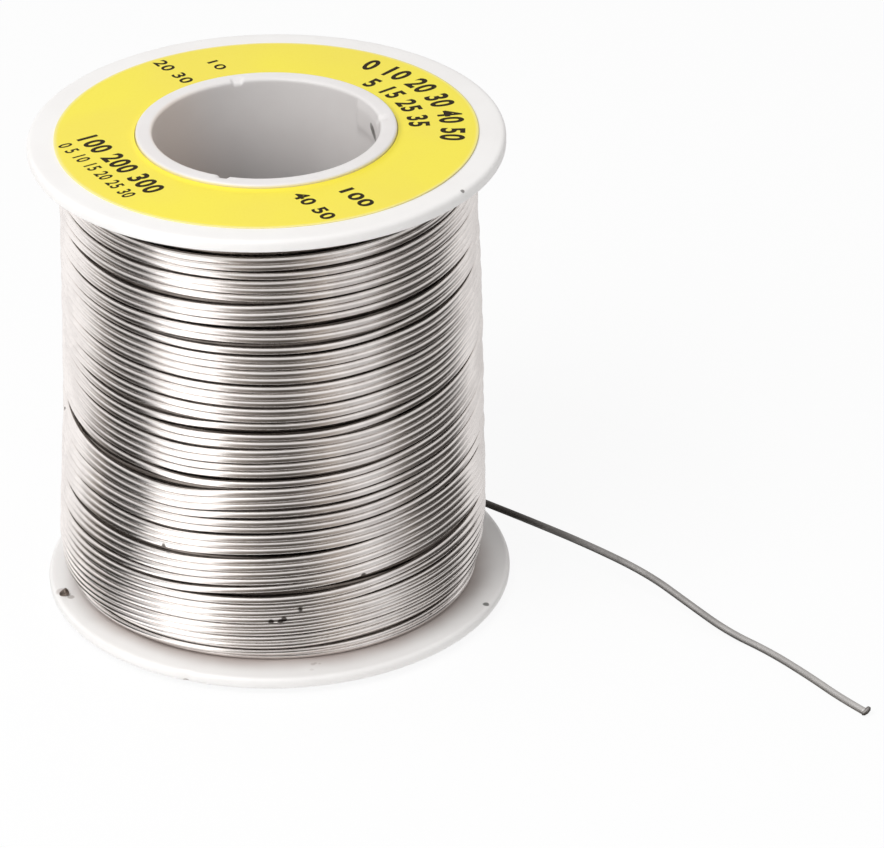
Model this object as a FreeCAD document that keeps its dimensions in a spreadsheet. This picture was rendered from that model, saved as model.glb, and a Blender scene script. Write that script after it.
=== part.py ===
import FreeCAD, Part
import math
import os
import Sketcher

# Solder wire spool of about the 500 g size, standing on one end of its barrel, with the barrel's axis
# along +Z. A moulded barrel carries two round flanges, which seat on its shoulders. Wire fills the space
# between them, and its free end leaves the last turn near the lower flange, arches over the flange's rim
# and lies on the table. The origin is on the axis, in the plane that the spool stands on. Lengths are
# millimetres, angles are degrees.

Vector = FreeCAD.Vector
UP = Vector(0, 0, 1)

# Each driving size has a name, a number and its meaning.
SIZES = {
    "overall_height": (69.3, "over both ends of the barrel"),
    "collar_height": (0.9, "how far each barrel end stands past its flange"),
    "collar_diameter": (35.0, "barrel end, pushed into the flange"),
    "shoulder_diameter": (38.0, "barrel between the flanges"),
    "bore_diameter": (30.4, "spindle bore through the barrel"),
    "lip_bevel": (0.5, "mouths of the bore"),
    "notch_width": (1.4, "three small notches across the barrel's upper lip"),
    "notch_depth": (0.4, "along the axis"),
    "notch_angle_right": (8.0, "round from +X, counterclockwise seen from above"),
    "notch_angle_back": (104.0, "the same"),
    "notch_angle_front": (248.0, "the same"),
    "flange_diameter": (64.0, "both flanges"),
    "flange_thickness": (1.7, "both flanges"),
    "rim_bevel": (0.5, "outer edge of each flange's outer face"),
    "tie_hole_radius": (30.3, "from the axis to the hole that holds the wire's first end"),
    "tie_hole_angle": (192.0, "round from +X"),
    "stub_height": (1.2, "how far the wire's first end stands out of its hole"),
    "label_outer_diameter": (56.8, "paper ring on the upper flange"),
    "label_inner_diameter": (35.2, "clears the barrel's end"),
    "label_thickness": (0.15, "paper and glue"),
    "winding_diameter": (56.4, "over the outer layer of wire"),
    "wire_diameter": (1.0, "the wire"),
    "layer_clearance": (0.02, "outer layer to the layers beneath, and to the upper flange"),
    "lowest_turns_height": (1.2, "the turns between the lower flange and the last turn, as one plain step"),
    "turns_modelled": (13, "one for about four of the outer layer's turns"),
    "exit_angle": (46.5, "round from +X to where the free end leaves the last turn"),
    "exit_height": (4.7, "the middle of the wire where it leaves"),
}

# Corners of the free end's route after it leaves the winding. Each has its distance along the direction in
# which the wire leaves, its distance to the right of that line, and the height of the wire's middle.
FREE_END_ROUTE = (
    (10.0, 0.1, 4.7),
    (21.0, 0.4, 5.15),
    (33.0, 0.35, 5.15),
    (43.5, 0.15, 3.45),
    (51.0, 0.25, 1.3),
    (57.9, 0.45, 0.5),
    (65.4, 0.7, 0.5),
    (73.4, 2.3, 0.5),
    (80.4, 4.1, 0.5),
    (84.8, 4.75, 0.5),
)
LAYER_SIDES = 4  # facets round the outer layer's wire
FREE_END_SIDES = 6  # facets round the free end
ARC_SHARE = 0.45  # of the shorter run beside a corner, taken up by the corner's arc
GAP_SAMPLES = 32  # points on each half turn where the outer layer's gap to itself is measured

doc = FreeCAD.newDocument("SolderWireSpool")


def filled_sheet():
    """A sheet that holds every driving size as a plain number with an alias, and its meaning beside it."""
    table = doc.addObject("Spreadsheet::Sheet", "Sizes")
    for row, (alias, (number, meaning)) in enumerate(SIZES.items(), start=1):
        table.set(f"A{row}", str(number))
        table.setAlias(f"A{row}", alias)
        table.set(f"B{row}", meaning)
    doc.recompute()
    return table


sheet = filled_sheet()


def size(alias):
    """A driving size as the sheet holds it."""
    return float(sheet.get(alias))


def half(alias):
    """A radius: its number now, and the expression that keeps it half of the sheet's diameter."""
    return size(alias) / 2, f"Sizes.{alias} / 2"


def total(*aliases):
    """A length added up from the sheet: its number now and its expression. A leading minus takes one away."""
    number = sum(-size(a[1:]) if a.startswith("-") else size(a) for a in aliases)
    terms = [f"- Sizes.{a[1:]}" if a.startswith("-") else f"+ Sizes.{a}" for a in aliases]
    return number, " ".join(["0", *terms])


def new_body(label):
    body = doc.addObject("PartDesign::Body", label)
    body.Label = label
    return body


def sketch_on(body, name, role):
    """A sketch on one of the body's own origin planes."""
    sketch = body.newObject("Sketcher::SketchObject", name)
    plane = next(feature for feature in body.Origin.OriginFeatures if feature.Role == role)
    sketch.AttachmentSupport = [(plane, "")]
    sketch.MapMode = "FlatFace"
    return sketch


def hold(sketch, kind, element, point, length):
    """Keep a point of an element at a distance from the sketch's origin, or on the axis where that is 0."""
    number, expression = length
    if number == 0:
        axis = -1 if kind == "DistanceY" else -2
        sketch.addConstraint(Sketcher.Constraint("PointOnObject", element, point, axis))
        return
    index = sketch.addConstraint(Sketcher.Constraint(kind, -1, 1, element, point, number))
    sketch.setExpression(f"Constraints[{index}]", expression)


def outline(body, name, role, corners):
    """A closed outline of straight sides. Each corner is two lengths, across and up, and is held to both."""
    sketch = sketch_on(body, name, role)
    points = [Vector(across[0], up[0], 0) for across, up in corners]
    for start, end in zip(points, points[1:] + points[:1]):
        sketch.addGeometry(Part.LineSegment(start, end), False)
    for side, (across, up) in enumerate(corners):
        sketch.addConstraint(Sketcher.Constraint("Coincident", side, 1, (side - 1) % len(corners), 2))
        hold(sketch, "DistanceX", side, 1, across)
        hold(sketch, "DistanceY", side, 1, up)
    return sketch


def turned(body, name, corners):
    """Turn an outline of radii and heights once round the body's Z axis."""
    sketch = outline(body, name + "_outline", "XZ_Plane", corners)
    solid = body.newObject("PartDesign::Revolution", name)
    solid.Profile = sketch
    solid.ReferenceAxis = (sketch, ["V_Axis"])
    solid.Angle = 360
    doc.recompute()
    return solid


def bevelled(body, name, base, radius, heights, alias):
    """Bevel those of the base's circular edges that have a radius and lie at one of the heights."""
    edges = [
        f"Edge{number}"
        for number, edge in enumerate(base.Shape.Edges, start=1)
        if hasattr(edge.Curve, "Radius")
        and abs(edge.Curve.Radius - radius) < 1e-4
        and any(abs(edge.Curve.Center.z - height) < 1e-4 for height in heights)
    ]
    bevel = body.newObject("PartDesign::Chamfer", name)
    bevel.Base = (base, edges)
    bevel.setExpression("Size", f"Sizes.{alias}")
    doc.recompute()
    return bevel


def cut(body, name, sketch, depth):
    """Cut a sketch into the body, down to a depth from the sheet or, with no depth, right through upwards."""
    volume = body.Shape.Volume
    pocket = body.newObject("PartDesign::Pocket", name)
    pocket.Profile = sketch
    if depth is None:
        pocket.Type = "ThroughAll"
        pocket.Reversed = True
    else:
        pocket.setExpression("Length", depth)
    doc.recompute()
    if not body.Shape.Volume < volume:
        raise RuntimeError(f"{name} cut nothing")
    return pocket


def make_barrel():
    """The barrel: shoulders that the flanges seat on, ends that stand past them, and bevelled bore mouths."""
    body = new_body("barrel")
    bore, collar, shoulder = half("bore_diameter"), half("collar_diameter"), half("shoulder_diameter")
    low_seat = total("collar_height", "flange_thickness")
    high_seat = total("overall_height", "-collar_height", "-flange_thickness")
    bottom, top = total(), total("overall_height")
    tube = turned(body, "barrel_tube", [
        (bore, bottom), (collar, bottom), (collar, low_seat), (shoulder, low_seat),
        (shoulder, high_seat), (collar, high_seat), (collar, top), (bore, top),
    ])
    bevelled(body, "bore_mouths", tube, bore[0], (bottom[0], top[0]), "lip_bevel")
    for place in ("right", "back", "front"):
        notch_lip(body, place, bore[0])
    return body


def notch_lip(body, place, bore_radius):
    """A small square notch in the lip of the bore's upper mouth, no deeper than its bevel."""
    sketch = sketch_on(body, f"notch_{place}_outline", "XY_Plane")
    sketch.setExpression("AttachmentOffset.Base.z", "Sizes.overall_height")
    sketch.setExpression("AttachmentOffset.Rotation.Angle", f"Sizes.notch_angle_{place}")
    reach = size("notch_width") / 2
    corners = [(bore_radius - reach, -reach), (bore_radius + reach, -reach),
               (bore_radius + reach, reach), (bore_radius - reach, reach)]
    points = [Vector(x, y, 0) for x, y in corners]
    for start, end in zip(points, points[1:] + points[:1]):
        sketch.addGeometry(Part.LineSegment(start, end), False)
    for side in range(4):
        sketch.addConstraint(Sketcher.Constraint("Coincident", side, 1, (side - 1) % 4, 2))
        sketch.addConstraint(Sketcher.Constraint("Vertical" if side % 2 else "Horizontal", side))
    for kind, point, number, expression in (
        ("DistanceX", 1, points[0].x, "(Sizes.bore_diameter - Sizes.notch_width) / 2"),
        ("DistanceX", 2, points[1].x, "(Sizes.bore_diameter + Sizes.notch_width) / 2"),
        ("DistanceY", 1, points[0].y, "-Sizes.notch_width / 2"),
    ):
        index = sketch.addConstraint(Sketcher.Constraint(kind, -1, 1, 0, point, number))
        sketch.setExpression(f"Constraints[{index}]", expression)
    index = sketch.addConstraint(Sketcher.Constraint("DistanceY", 1, 1, 1, 2, 2 * reach))
    sketch.setExpression(f"Constraints[{index}]", "Sizes.notch_width")
    doc.recompute()
    cut(body, f"notch_{place}", sketch, "Sizes.notch_depth")


def make_flange(label, height, upside_down):
    """A flange with a bevelled outer edge, drawn with its outer face down at height 0 and then set in place."""
    body = new_body(label)
    hole, rim = half("collar_diameter"), half("flange_diameter")
    outer_face, inner_face = total(), total("flange_thickness")
    disc = turned(body, f"{label}_disc", [
        (hole, outer_face), (rim, outer_face), (rim, inner_face), (hole, inner_face),
    ])
    bevelled(body, f"{label}_rim", disc, rim[0], (outer_face[0],), "rim_bevel")
    if upside_down:
        body.Placement.Rotation = FreeCAD.Rotation(Vector(1, 0, 0), 180)
    body.setExpression("Placement.Base.z", height[1])
    doc.recompute()
    return body


def add_tie_hole(flange):
    """The hole near the lower flange's rim that holds the wire's first end, as wide as the wire."""
    sketch = sketch_on(flange, "tie_hole_outline", "XY_Plane")
    sketch.setExpression("AttachmentOffset.Rotation.Angle", "Sizes.tie_hole_angle")
    centre = Vector(size("tie_hole_radius"), 0, 0)
    sketch.addGeometry(Part.Circle(centre, UP, size("wire_diameter") / 2), False)
    sketch.addConstraint(Sketcher.Constraint("PointOnObject", 0, 3, -1))
    index = sketch.addConstraint(Sketcher.Constraint("DistanceX", -1, 1, 0, 3, centre.x))
    sketch.setExpression(f"Constraints[{index}]", "Sizes.tie_hole_radius")
    index = sketch.addConstraint(Sketcher.Constraint("Diameter", 0, size("wire_diameter")))
    sketch.setExpression(f"Constraints[{index}]", "Sizes.wire_diameter")
    doc.recompute()
    cut(flange, "tie_hole", sketch, None)


def make_ring(label, inner, outer, base, height):
    """A plain ring, one cylinder cut from another, with its sizes and its height from the sheet."""
    cylinders = []
    for name, radius in ((label + "_outside", outer), (label + "_inside", inner)):
        cylinder = doc.addObject("Part::Cylinder", name)
        cylinder.setExpression("Radius", radius)
        cylinder.setExpression("Height", height[1])
        cylinder.setExpression("Placement.Base.z", base[1])
        cylinders.append(cylinder)
    ring = doc.addObject("Part::Cut", label)
    ring.Label = label
    ring.Base, ring.Tool = cylinders
    doc.recompute()
    return ring


def make_inner_layers():
    """All the layers of wire under the outer one, as a plain ring between the flanges. The lowest turns,
    under the outer layer's last one, are a step round its foot."""
    body = new_body("wire_inner_layers")
    inner, foot = half("shoulder_diameter"), half("winding_diameter")
    outer = (
        foot[0] - size("wire_diameter") - size("layer_clearance"),
        f"{foot[1]} - Sizes.wire_diameter - Sizes.layer_clearance",
    )
    bottom = total("collar_height", "flange_thickness")
    step = total("collar_height", "flange_thickness", "lowest_turns_height")
    top = total("overall_height", "-collar_height", "-flange_thickness")
    turned(body, "inner_layers", [
        (inner, bottom), (foot, bottom), (foot, step), (outer, step), (outer, top), (inner, top),
    ])
    return body


def middle_of_arc(start, direction, end):
    """The point half way along the arc that leaves start along a direction and comes to end."""
    chord = end - start
    along = chord * (1 / chord.Length)
    side = direction - along * direction.dot(along)
    side.normalize()
    half_angle = math.acos(max(-1, min(1, direction.dot(along))))
    return start + chord * 0.5 + side * (chord.Length / 2 * math.tan(half_angle / 2))


def biarc(start, out, end, on):
    """Two arcs from start, leaving along out, to end, arriving along on. They meet smoothly half way."""
    chord = end - start
    turning = 2 * (1 - out.dot(on))
    reach = -chord.dot(out + on)
    reach = (reach + math.sqrt(reach * reach + turning * chord.dot(chord))) / turning
    joint = (start + out * reach + end - on * reach) * 0.5
    first = Part.Arc(start, middle_of_arc(start, out, joint), joint)
    second = Part.Arc(joint, middle_of_arc(end, on * -1, joint), end)
    return [first, second]


def layer_station(turn):
    """Where the outer layer's wire is after a number of turns, and its direction. It goes down and round
    clockwise, seen from above, from just under the upper flange to where the free end leaves."""
    turns = int(size("turns_modelled"))
    radius = (size("winding_diameter") - size("wire_diameter")) / 2
    ceiling = size("overall_height") - size("collar_height") - size("flange_thickness")
    top = ceiling - size("wire_diameter") / 2 - size("layer_clearance")
    pitch = (top - size("exit_height")) / turns
    angle = math.radians(size("exit_angle")) + 2 * math.pi * (turns - turn)
    place = Vector(radius * math.cos(angle), radius * math.sin(angle), top - pitch * turn)
    direction = Vector(math.sin(angle), -math.cos(angle), -pitch / (2 * math.pi * radius))
    direction.normalize()
    return place, direction


def polygon_across(place, direction, diameter, sides):
    """A regular polygon square to a direction, with its corners on a circle."""
    across = direction.cross(UP)
    across.normalize()
    spin = FreeCAD.Rotation(direction, 360 / sides)
    arm = across * (diameter / 2)
    corners = []
    for _ in range(sides):
        corners.append(place + arm)
        arm = spin.multVec(arm)
    return Part.makePolygon(corners + corners[:1])


def make_outer_layer():
    """The outer layer as one unbroken wire: half turns of two arcs each, and a straight end at each side."""
    turns = int(size("turns_modelled"))
    diameter = size("wire_diameter")
    stations = [layer_station(number / 2) for number in range(2 * turns + 1)]
    arcs = []
    for (start, out), (end, on) in zip(stations, stations[1:]):
        arcs += biarc(start, out, end, on)
    (first, out), (last, on) = stations[0], stations[-1]
    tip, stop = first - out * diameter, last + on * diameter
    curves = [Part.LineSegment(tip, first), *arcs, Part.LineSegment(last, stop)]
    path = Part.Wire([curve.toShape() for curve in curves])
    section = polygon_across(tip, out, diameter, LAYER_SIDES)
    report_gap(arcs, diameter)
    layer = doc.addObject("Part::Feature", "outer_layer")
    layer.Label = "wire_outer_layer"
    layer.Shape = path.makePipeShell([section], True, False)
    compare_volume(layer, Part.Face(section).Area * path.Length)
    return layer


def report_gap(arcs, diameter):
    """Measure the layer's least gap to itself between points at least half a turn apart along the wire."""
    points = []
    for arc in arcs:
        first, last = arc.FirstParameter, arc.LastParameter
        points += [arc.value(first + (last - first) * step / GAP_SAMPLES) for step in range(GAP_SAMPLES)]
    a_turn = 4 * GAP_SAMPLES
    nearest = min(
        (here - points[there]).Length
        for index, here in enumerate(points)
        for there in range(index + a_turn // 2, min(index + 3 * a_turn // 2, len(points)))
    )
    print(f"outer layer: least gap to itself {nearest - diameter:.2f} mm, wanted over 0.4")


def free_end_corners():
    """The free end's route, from the end of the outer layer's wire to the tip."""
    last, on = layer_station(int(size("turns_modelled")))
    angle = math.radians(size("exit_angle"))
    along = Vector(math.sin(angle), -math.cos(angle), 0)
    right = along.cross(UP)
    foot = Vector(last.x, last.y, 0)
    corners = [last + on * size("wire_diameter")]
    for ahead, aside, height in FREE_END_ROUTE:
        corners.append(foot + along * ahead + right * aside + UP * height)
    return corners


def rounded_route(corners):
    """Straight runs between the corners, joined at each by as large an arc as its two runs allow."""
    curves, radii = [], []
    reached = corners[0]
    for before, corner, after in zip(corners, corners[1:], corners[2:]):
        back, ahead = before - corner, after - corner
        shorter = min(back.Length, ahead.Length)
        turn = math.pi - back.getAngle(ahead)
        reach = ARC_SHARE * shorter
        radii.append(reach / math.tan(turn / 2))
        back.normalize()
        ahead.normalize()
        start, end = corner + back * reach, corner + ahead * reach
        curves.append(Part.LineSegment(reached, start))
        curves.append(Part.Arc(start, middle_of_arc(start, back * -1, end), end))
        reached = end
    curves.append(Part.LineSegment(reached, corners[-1]))
    print("free end: arc radii", ", ".join(f"{radius:.0f}" for radius in radii), "mm")
    return Part.Wire([curve.toShape() for curve in curves])


def make_free_end():
    """The wire's free end: a tube along its route, with a plain cut tip."""
    corners = free_end_corners()
    path = rounded_route(corners)
    direction = corners[1] - corners[0]
    direction.normalize()
    section = polygon_across(corners[0], direction, size("wire_diameter"), FREE_END_SIDES)
    free_end = doc.addObject("Part::Feature", "free_end")
    free_end.Label = "wire_free_end"
    free_end.Shape = path.makePipeShell([section], True, False)
    compare_volume(free_end, Part.Face(section).Area * path.Length)
    print(f"free end: {path.Length:.1f} mm long, lowest at {free_end.Shape.optimalBoundingBox().ZMin:.3f} mm")
    return free_end


def compare_volume(feature, expected):
    volume = feature.Shape.Volume
    print(f"{feature.Label}: volume {volume:.2f}, section times length {expected:.2f} cubic mm")
    if abs(volume - expected) > 0.01 * expected:
        raise RuntimeError(f"{feature.Label} is not a clean tube")


def make_first_end():
    """The wire's first end, a short stub pinched in the lower flange's tie hole."""
    angle = math.radians(size("tie_hole_angle"))
    radius, base = size("tie_hole_radius"), size("collar_height")
    stub = doc.addObject("Part::Feature", "first_end")
    stub.Label = "wire_first_end"
    stub.Shape = Part.makeCylinder(size("wire_diameter") / 2, size("flange_thickness") + size("stub_height"))
    stub.Placement.Base = Vector(radius * math.cos(angle), radius * math.sin(angle), base)
    return stub


def make_all():
    high_face = total("overall_height", "-collar_height")
    low_face = total("collar_height")
    lower_flange = make_flange("lower_flange", low_face, False)
    add_tie_hole(lower_flange)
    return [
        make_barrel(),
        lower_flange,
        make_flange("upper_flange", high_face, True),
        make_ring("label", "Sizes.label_inner_diameter / 2", "Sizes.label_outer_diameter / 2",
                  high_face, total("label_thickness")),
        make_inner_layers(),
        make_outer_layer(),
        make_free_end(),
        make_first_end(),
    ]


def check_document():
    doc.recompute()
    for thing in doc.Objects:
        bad = [state for state in thing.State if state in ("Invalid", "Error")]
        if bad:
            raise RuntimeError(f"{thing.Name} is {bad[0]}")


def export(parts):
    """Write each sub-part, after a look at its shape, to a file named by its label."""
    os.makedirs("parts", exist_ok=True)
    for part in parts:
        shape = part.Shape
        if shape.isNull() or not shape.isValid():
            raise RuntimeError(f"{part.Label} has no sound shape")
        shape.exportStep(f"parts/{part.Label}.step")
        box = shape.optimalBoundingBox()
        lengths = " x ".join(f"{length:.2f}" for length in (box.XLength, box.YLength, box.ZLength))
        print(f"{part.Label}: {lengths} mm from height {box.ZMin:.2f}")


parts = make_all()
check_document()
export(parts)
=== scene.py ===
# A spool of solder wire on a pale table. The spool stands on one end with its axis along +Z. Shapes are
# worked out in millimetres and put into their meshes in metres. Round the axis, an azimuth is counted in
# degrees from the front (-Y) towards the right (+X), and a theta from +X towards +Y. The wire goes round
# from right to left as it goes down.

import math

import bpy
import numpy as np
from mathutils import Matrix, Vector


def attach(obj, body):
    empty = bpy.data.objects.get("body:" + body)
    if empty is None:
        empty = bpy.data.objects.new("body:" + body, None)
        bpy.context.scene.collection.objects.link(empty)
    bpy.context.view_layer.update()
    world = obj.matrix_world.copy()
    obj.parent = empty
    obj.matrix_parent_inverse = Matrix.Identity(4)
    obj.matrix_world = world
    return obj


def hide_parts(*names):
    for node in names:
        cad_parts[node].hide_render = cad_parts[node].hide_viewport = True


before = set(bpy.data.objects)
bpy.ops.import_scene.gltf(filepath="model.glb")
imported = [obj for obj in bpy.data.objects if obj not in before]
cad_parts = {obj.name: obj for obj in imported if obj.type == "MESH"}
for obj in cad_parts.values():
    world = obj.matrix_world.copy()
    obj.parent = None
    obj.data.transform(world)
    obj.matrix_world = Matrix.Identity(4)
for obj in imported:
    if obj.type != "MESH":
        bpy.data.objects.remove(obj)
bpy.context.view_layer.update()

MM = 0.001

# The spool, as in its CAD model.
OVERALL = 69.3
COLLAR_HEIGHT = 0.9
FLANGE_THICK = 1.7
FLANGE_R = 32.0
COLLAR_R = 17.5
SHOULDER_R = 19.0
BORE_R = 15.2
LABEL_OUT_R, LABEL_IN_R, LABEL_THICK = 28.4, 17.6, 0.15
WIRE = 1.0
OUTER_R = 27.7  # middle of the outer layer's wire
EXIT_THETA = 46.5  # where the free end leaves the last turn
EXIT_HEIGHT = 4.7

# The inner faces of the two flanges, and the faces of the label.
LOW_SEAT = COLLAR_HEIGHT + FLANGE_THICK
HIGH_SEAT = OVERALL - COLLAR_HEIGHT - FLANGE_THICK
LABEL_LOW = OVERALL - COLLAR_HEIGHT
LABEL_TOP = LABEL_LOW + LABEL_THICK

# Corners of the free end's route: along the way it leaves, to the right of that line, and height.
FREE_END_ROUTE = (
    (10.0, 0.1, 4.7),
    (21.0, 0.4, 5.15),
    (33.0, 0.35, 5.15),
    (43.5, 0.15, 4.35),
    (51.0, 0.25, 2.35),
    (57.9, 0.45, 0.7),
    (65.4, 0.7, 0.5),
    (73.4, 2.3, 0.5),
    (80.4, 4.1, 0.5),
    (84.8, 4.75, 0.5),
)

# The photograph's view: where the camera stands, how it is turned, and its focal length in pixels of the
# frame.
FRAME_WIDE = 884
SENSOR_WIDE = 36.0
CAMERA_PLACE = (0.0, -674.8, 392.61)
CAMERA_TURN = (61.3235, 0.7366, -2.3439)
CAMERA_FOCAL = 5600.0


# ---- meshes ----

def put_mesh(name, points, quads, uv=None, slot=None, material=None):
    """An object of four-sided faces with smooth shading. Points are in mm. The faces are turned outwards:
    their signed volume, the sum of each corner triangle's determinant with the middle of the points, is
    made positive."""
    points = np.asarray(points, float).reshape(-1, 3)
    quads = np.asarray(quads, int).reshape(-1, 4)
    middle = points.mean(0)
    a, b, c, d = (points[quads[:, k]] - middle for k in range(4))
    volume = (np.cross(a, b) * c).sum() + (np.cross(a, c) * d).sum()
    if volume < 0:
        quads = quads[:, ::-1]
    mesh = bpy.data.meshes.new(name)
    mesh.vertices.add(len(points))
    mesh.vertices.foreach_set("co", (points * MM).astype(np.float32).ravel())
    mesh.loops.add(quads.size)
    mesh.loops.foreach_set("vertex_index", quads.astype(np.int32).ravel())
    mesh.polygons.add(len(quads))
    mesh.polygons.foreach_set("loop_start", np.arange(0, quads.size, 4, dtype=np.int32))
    mesh.polygons.foreach_set("use_smooth", np.ones(len(quads), bool))
    mesh.update(calc_edges=True)
    if uv is not None:
        corners = np.asarray(uv, float).reshape(-1, 4, 2)
        if volume < 0:
            corners = corners[:, ::-1]
        layer = mesh.uv_layers.new(name="UVMap")
        layer.data.foreach_set("uv", corners.astype(np.float32).ravel())
    mesh.validate()
    piece = bpy.data.objects.new(name, mesh)
    bpy.context.scene.collection.objects.link(piece)
    if material:
        mesh.materials.append(material)
    return piece


def grid_quads(rows, columns, rows_close, columns_close):
    """The faces of a grid of points, row by row. A direction that closes joins its last line to its
    first."""
    r = np.arange(rows if rows_close else rows - 1)
    c = np.arange(columns if columns_close else columns - 1)
    r, c = np.meshgrid(r, c, indexing="ij")
    r2, c2 = (r + 1) % rows, (c + 1) % columns
    corners = [r * columns + c, r * columns + c2, r2 * columns + c2, r2 * columns + c]
    return np.stack(corners, axis=-1).reshape(-1, 4)


def turned_piece(name, profile, steps, shape=None, **finish):
    """A closed profile of radii and heights carried once round the Z axis: (r cos t, r sin t, z). A
    function may first move the grid of radii, heights and angles."""
    profile = np.asarray(profile, float)
    angle = np.linspace(0, 2 * np.pi, steps, endpoint=False)
    radius = np.repeat(profile[:, :1], steps, axis=1)
    height = np.repeat(profile[:, 1:], steps, axis=1)
    angle = np.repeat(angle[None], len(profile), axis=0)
    if shape:
        radius, height, angle = shape(radius, height, angle)
    points = np.stack([radius * np.cos(angle), radius * np.sin(angle), height], axis=-1)
    return put_mesh(name, points, grid_quads(len(profile), steps, True, True), **finish)


def rounded(corners, steps):
    """A closed outline whose corners are rounded. Each corner is (r, z, radius); a quadratic curve runs
    from the point that distance before the corner to the point that distance after it."""
    corners = np.asarray(corners, float)
    points = []
    share = np.linspace(0, 1, steps)[:, None]
    for before, corner, after in zip(np.roll(corners, 1, 0), corners, np.roll(corners, -1, 0)):
        middle = corner[:2]
        back, ahead = before[:2] - middle, after[:2] - middle
        start = middle + back / np.linalg.norm(back) * corner[2]
        end = middle + ahead / np.linalg.norm(ahead) * corner[2]
        points.append((1 - share) ** 2 * start + 2 * share * (1 - share) * middle + share ** 2 * end)
    return np.concatenate(points)


def filled_in(profile, step):
    """The outline again, with points no further apart than a step, or than each point's own step."""
    profile = np.asarray(profile, float)
    ahead = np.roll(profile, -1, 0)
    parts = np.maximum(1, np.ceil(np.linalg.norm(ahead - profile, axis=1) / step).astype(int))
    owner = np.repeat(np.arange(len(profile)), parts)
    share = (np.arange(len(owner)) - np.repeat(np.cumsum(parts) - parts, parts)) / parts[owner]
    return profile[owner] + (ahead - profile)[owner] * share[:, None]


def tube(name, line, diameter, sides, squeeze=None, **finish):
    """A round section carried along a line: p(s) + r (cos a N(s) + sin a B(s)). N lies level and points to
    the left of the way that the line goes, and B is square to both and points down. The radius r is half
    the diameter, times the squeeze at each point where one is given. The two ends have flat caps."""
    line = np.asarray(line, float)
    ahead = np.gradient(line, axis=0)
    ahead /= np.linalg.norm(ahead, axis=1)[:, None]
    level = np.cross([0, 0, 1.0], ahead)
    level /= np.linalg.norm(level, axis=1)[:, None]
    down = np.cross(level, ahead)
    turn = np.linspace(0, 2 * np.pi, sides, endpoint=False)
    radius = np.full(len(line), diameter / 2) if squeeze is None else diameter / 2 * squeeze
    section = (np.cos(turn)[None, :, None] * level[:, None]
               + np.sin(turn)[None, :, None] * down[:, None])
    points = (line[:, None] + radius[:, None, None] * section).reshape(-1, 3)
    quads = grid_quads(len(line), sides, False, True)
    # The UV map: u counts steps of 10 mm along the line, and v goes once round. The grid's corners run
    # (row, side), (row, side + 1), (row + 1, side + 1), (row + 1, side).
    along = np.concatenate([[0], np.cumsum(np.linalg.norm(np.diff(line, axis=0), axis=1))])
    row, side = quads[:, 0] // sides, quads[:, 0] % sides
    u = np.stack([along[row], along[row], along[row + 1], along[row + 1]], axis=1) / 10
    v = np.stack([side, side + 1, side + 1, side], axis=1) / sides
    uv = np.stack([u, v], axis=-1)
    # Each cap's faces take two of the end's sides at a time, and meet in its middle.
    caps = []
    for middle, first in ((len(points), 0), (len(points) + 1, (len(line) - 1) * sides)):
        ring = first + np.arange(sides)
        cap = np.stack([ring[0::2], np.roll(ring, -1)[0::2], np.roll(ring, -2)[0::2],
                        np.full(sides // 2, middle)], axis=1)
        caps.append(cap if first else cap[:, ::-1])
    points = np.concatenate([points, line[:1], line[-1:]])
    uv = np.concatenate([uv, np.zeros((sides, 4, 2)) + [0, 0.5]])
    return put_mesh(name, points, np.concatenate([quads, *caps]), uv=uv, **finish)


def read_back(curve):
    """The points and the faces that a curve makes. The curve isn't kept."""
    holder = bpy.data.objects.new(curve.name, curve)
    mesh = bpy.data.meshes.new_from_object(holder)
    points = np.zeros(len(mesh.vertices) * 3, np.float32)
    mesh.vertices.foreach_get("co", points)
    faces = [list(face.vertices) for face in mesh.polygons]
    bpy.data.objects.remove(holder)
    bpy.data.curves.remove(curve)
    bpy.data.meshes.remove(mesh)
    return points.reshape(-1, 3).astype(float), faces


# ---- the nodes of a finish ----

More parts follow.
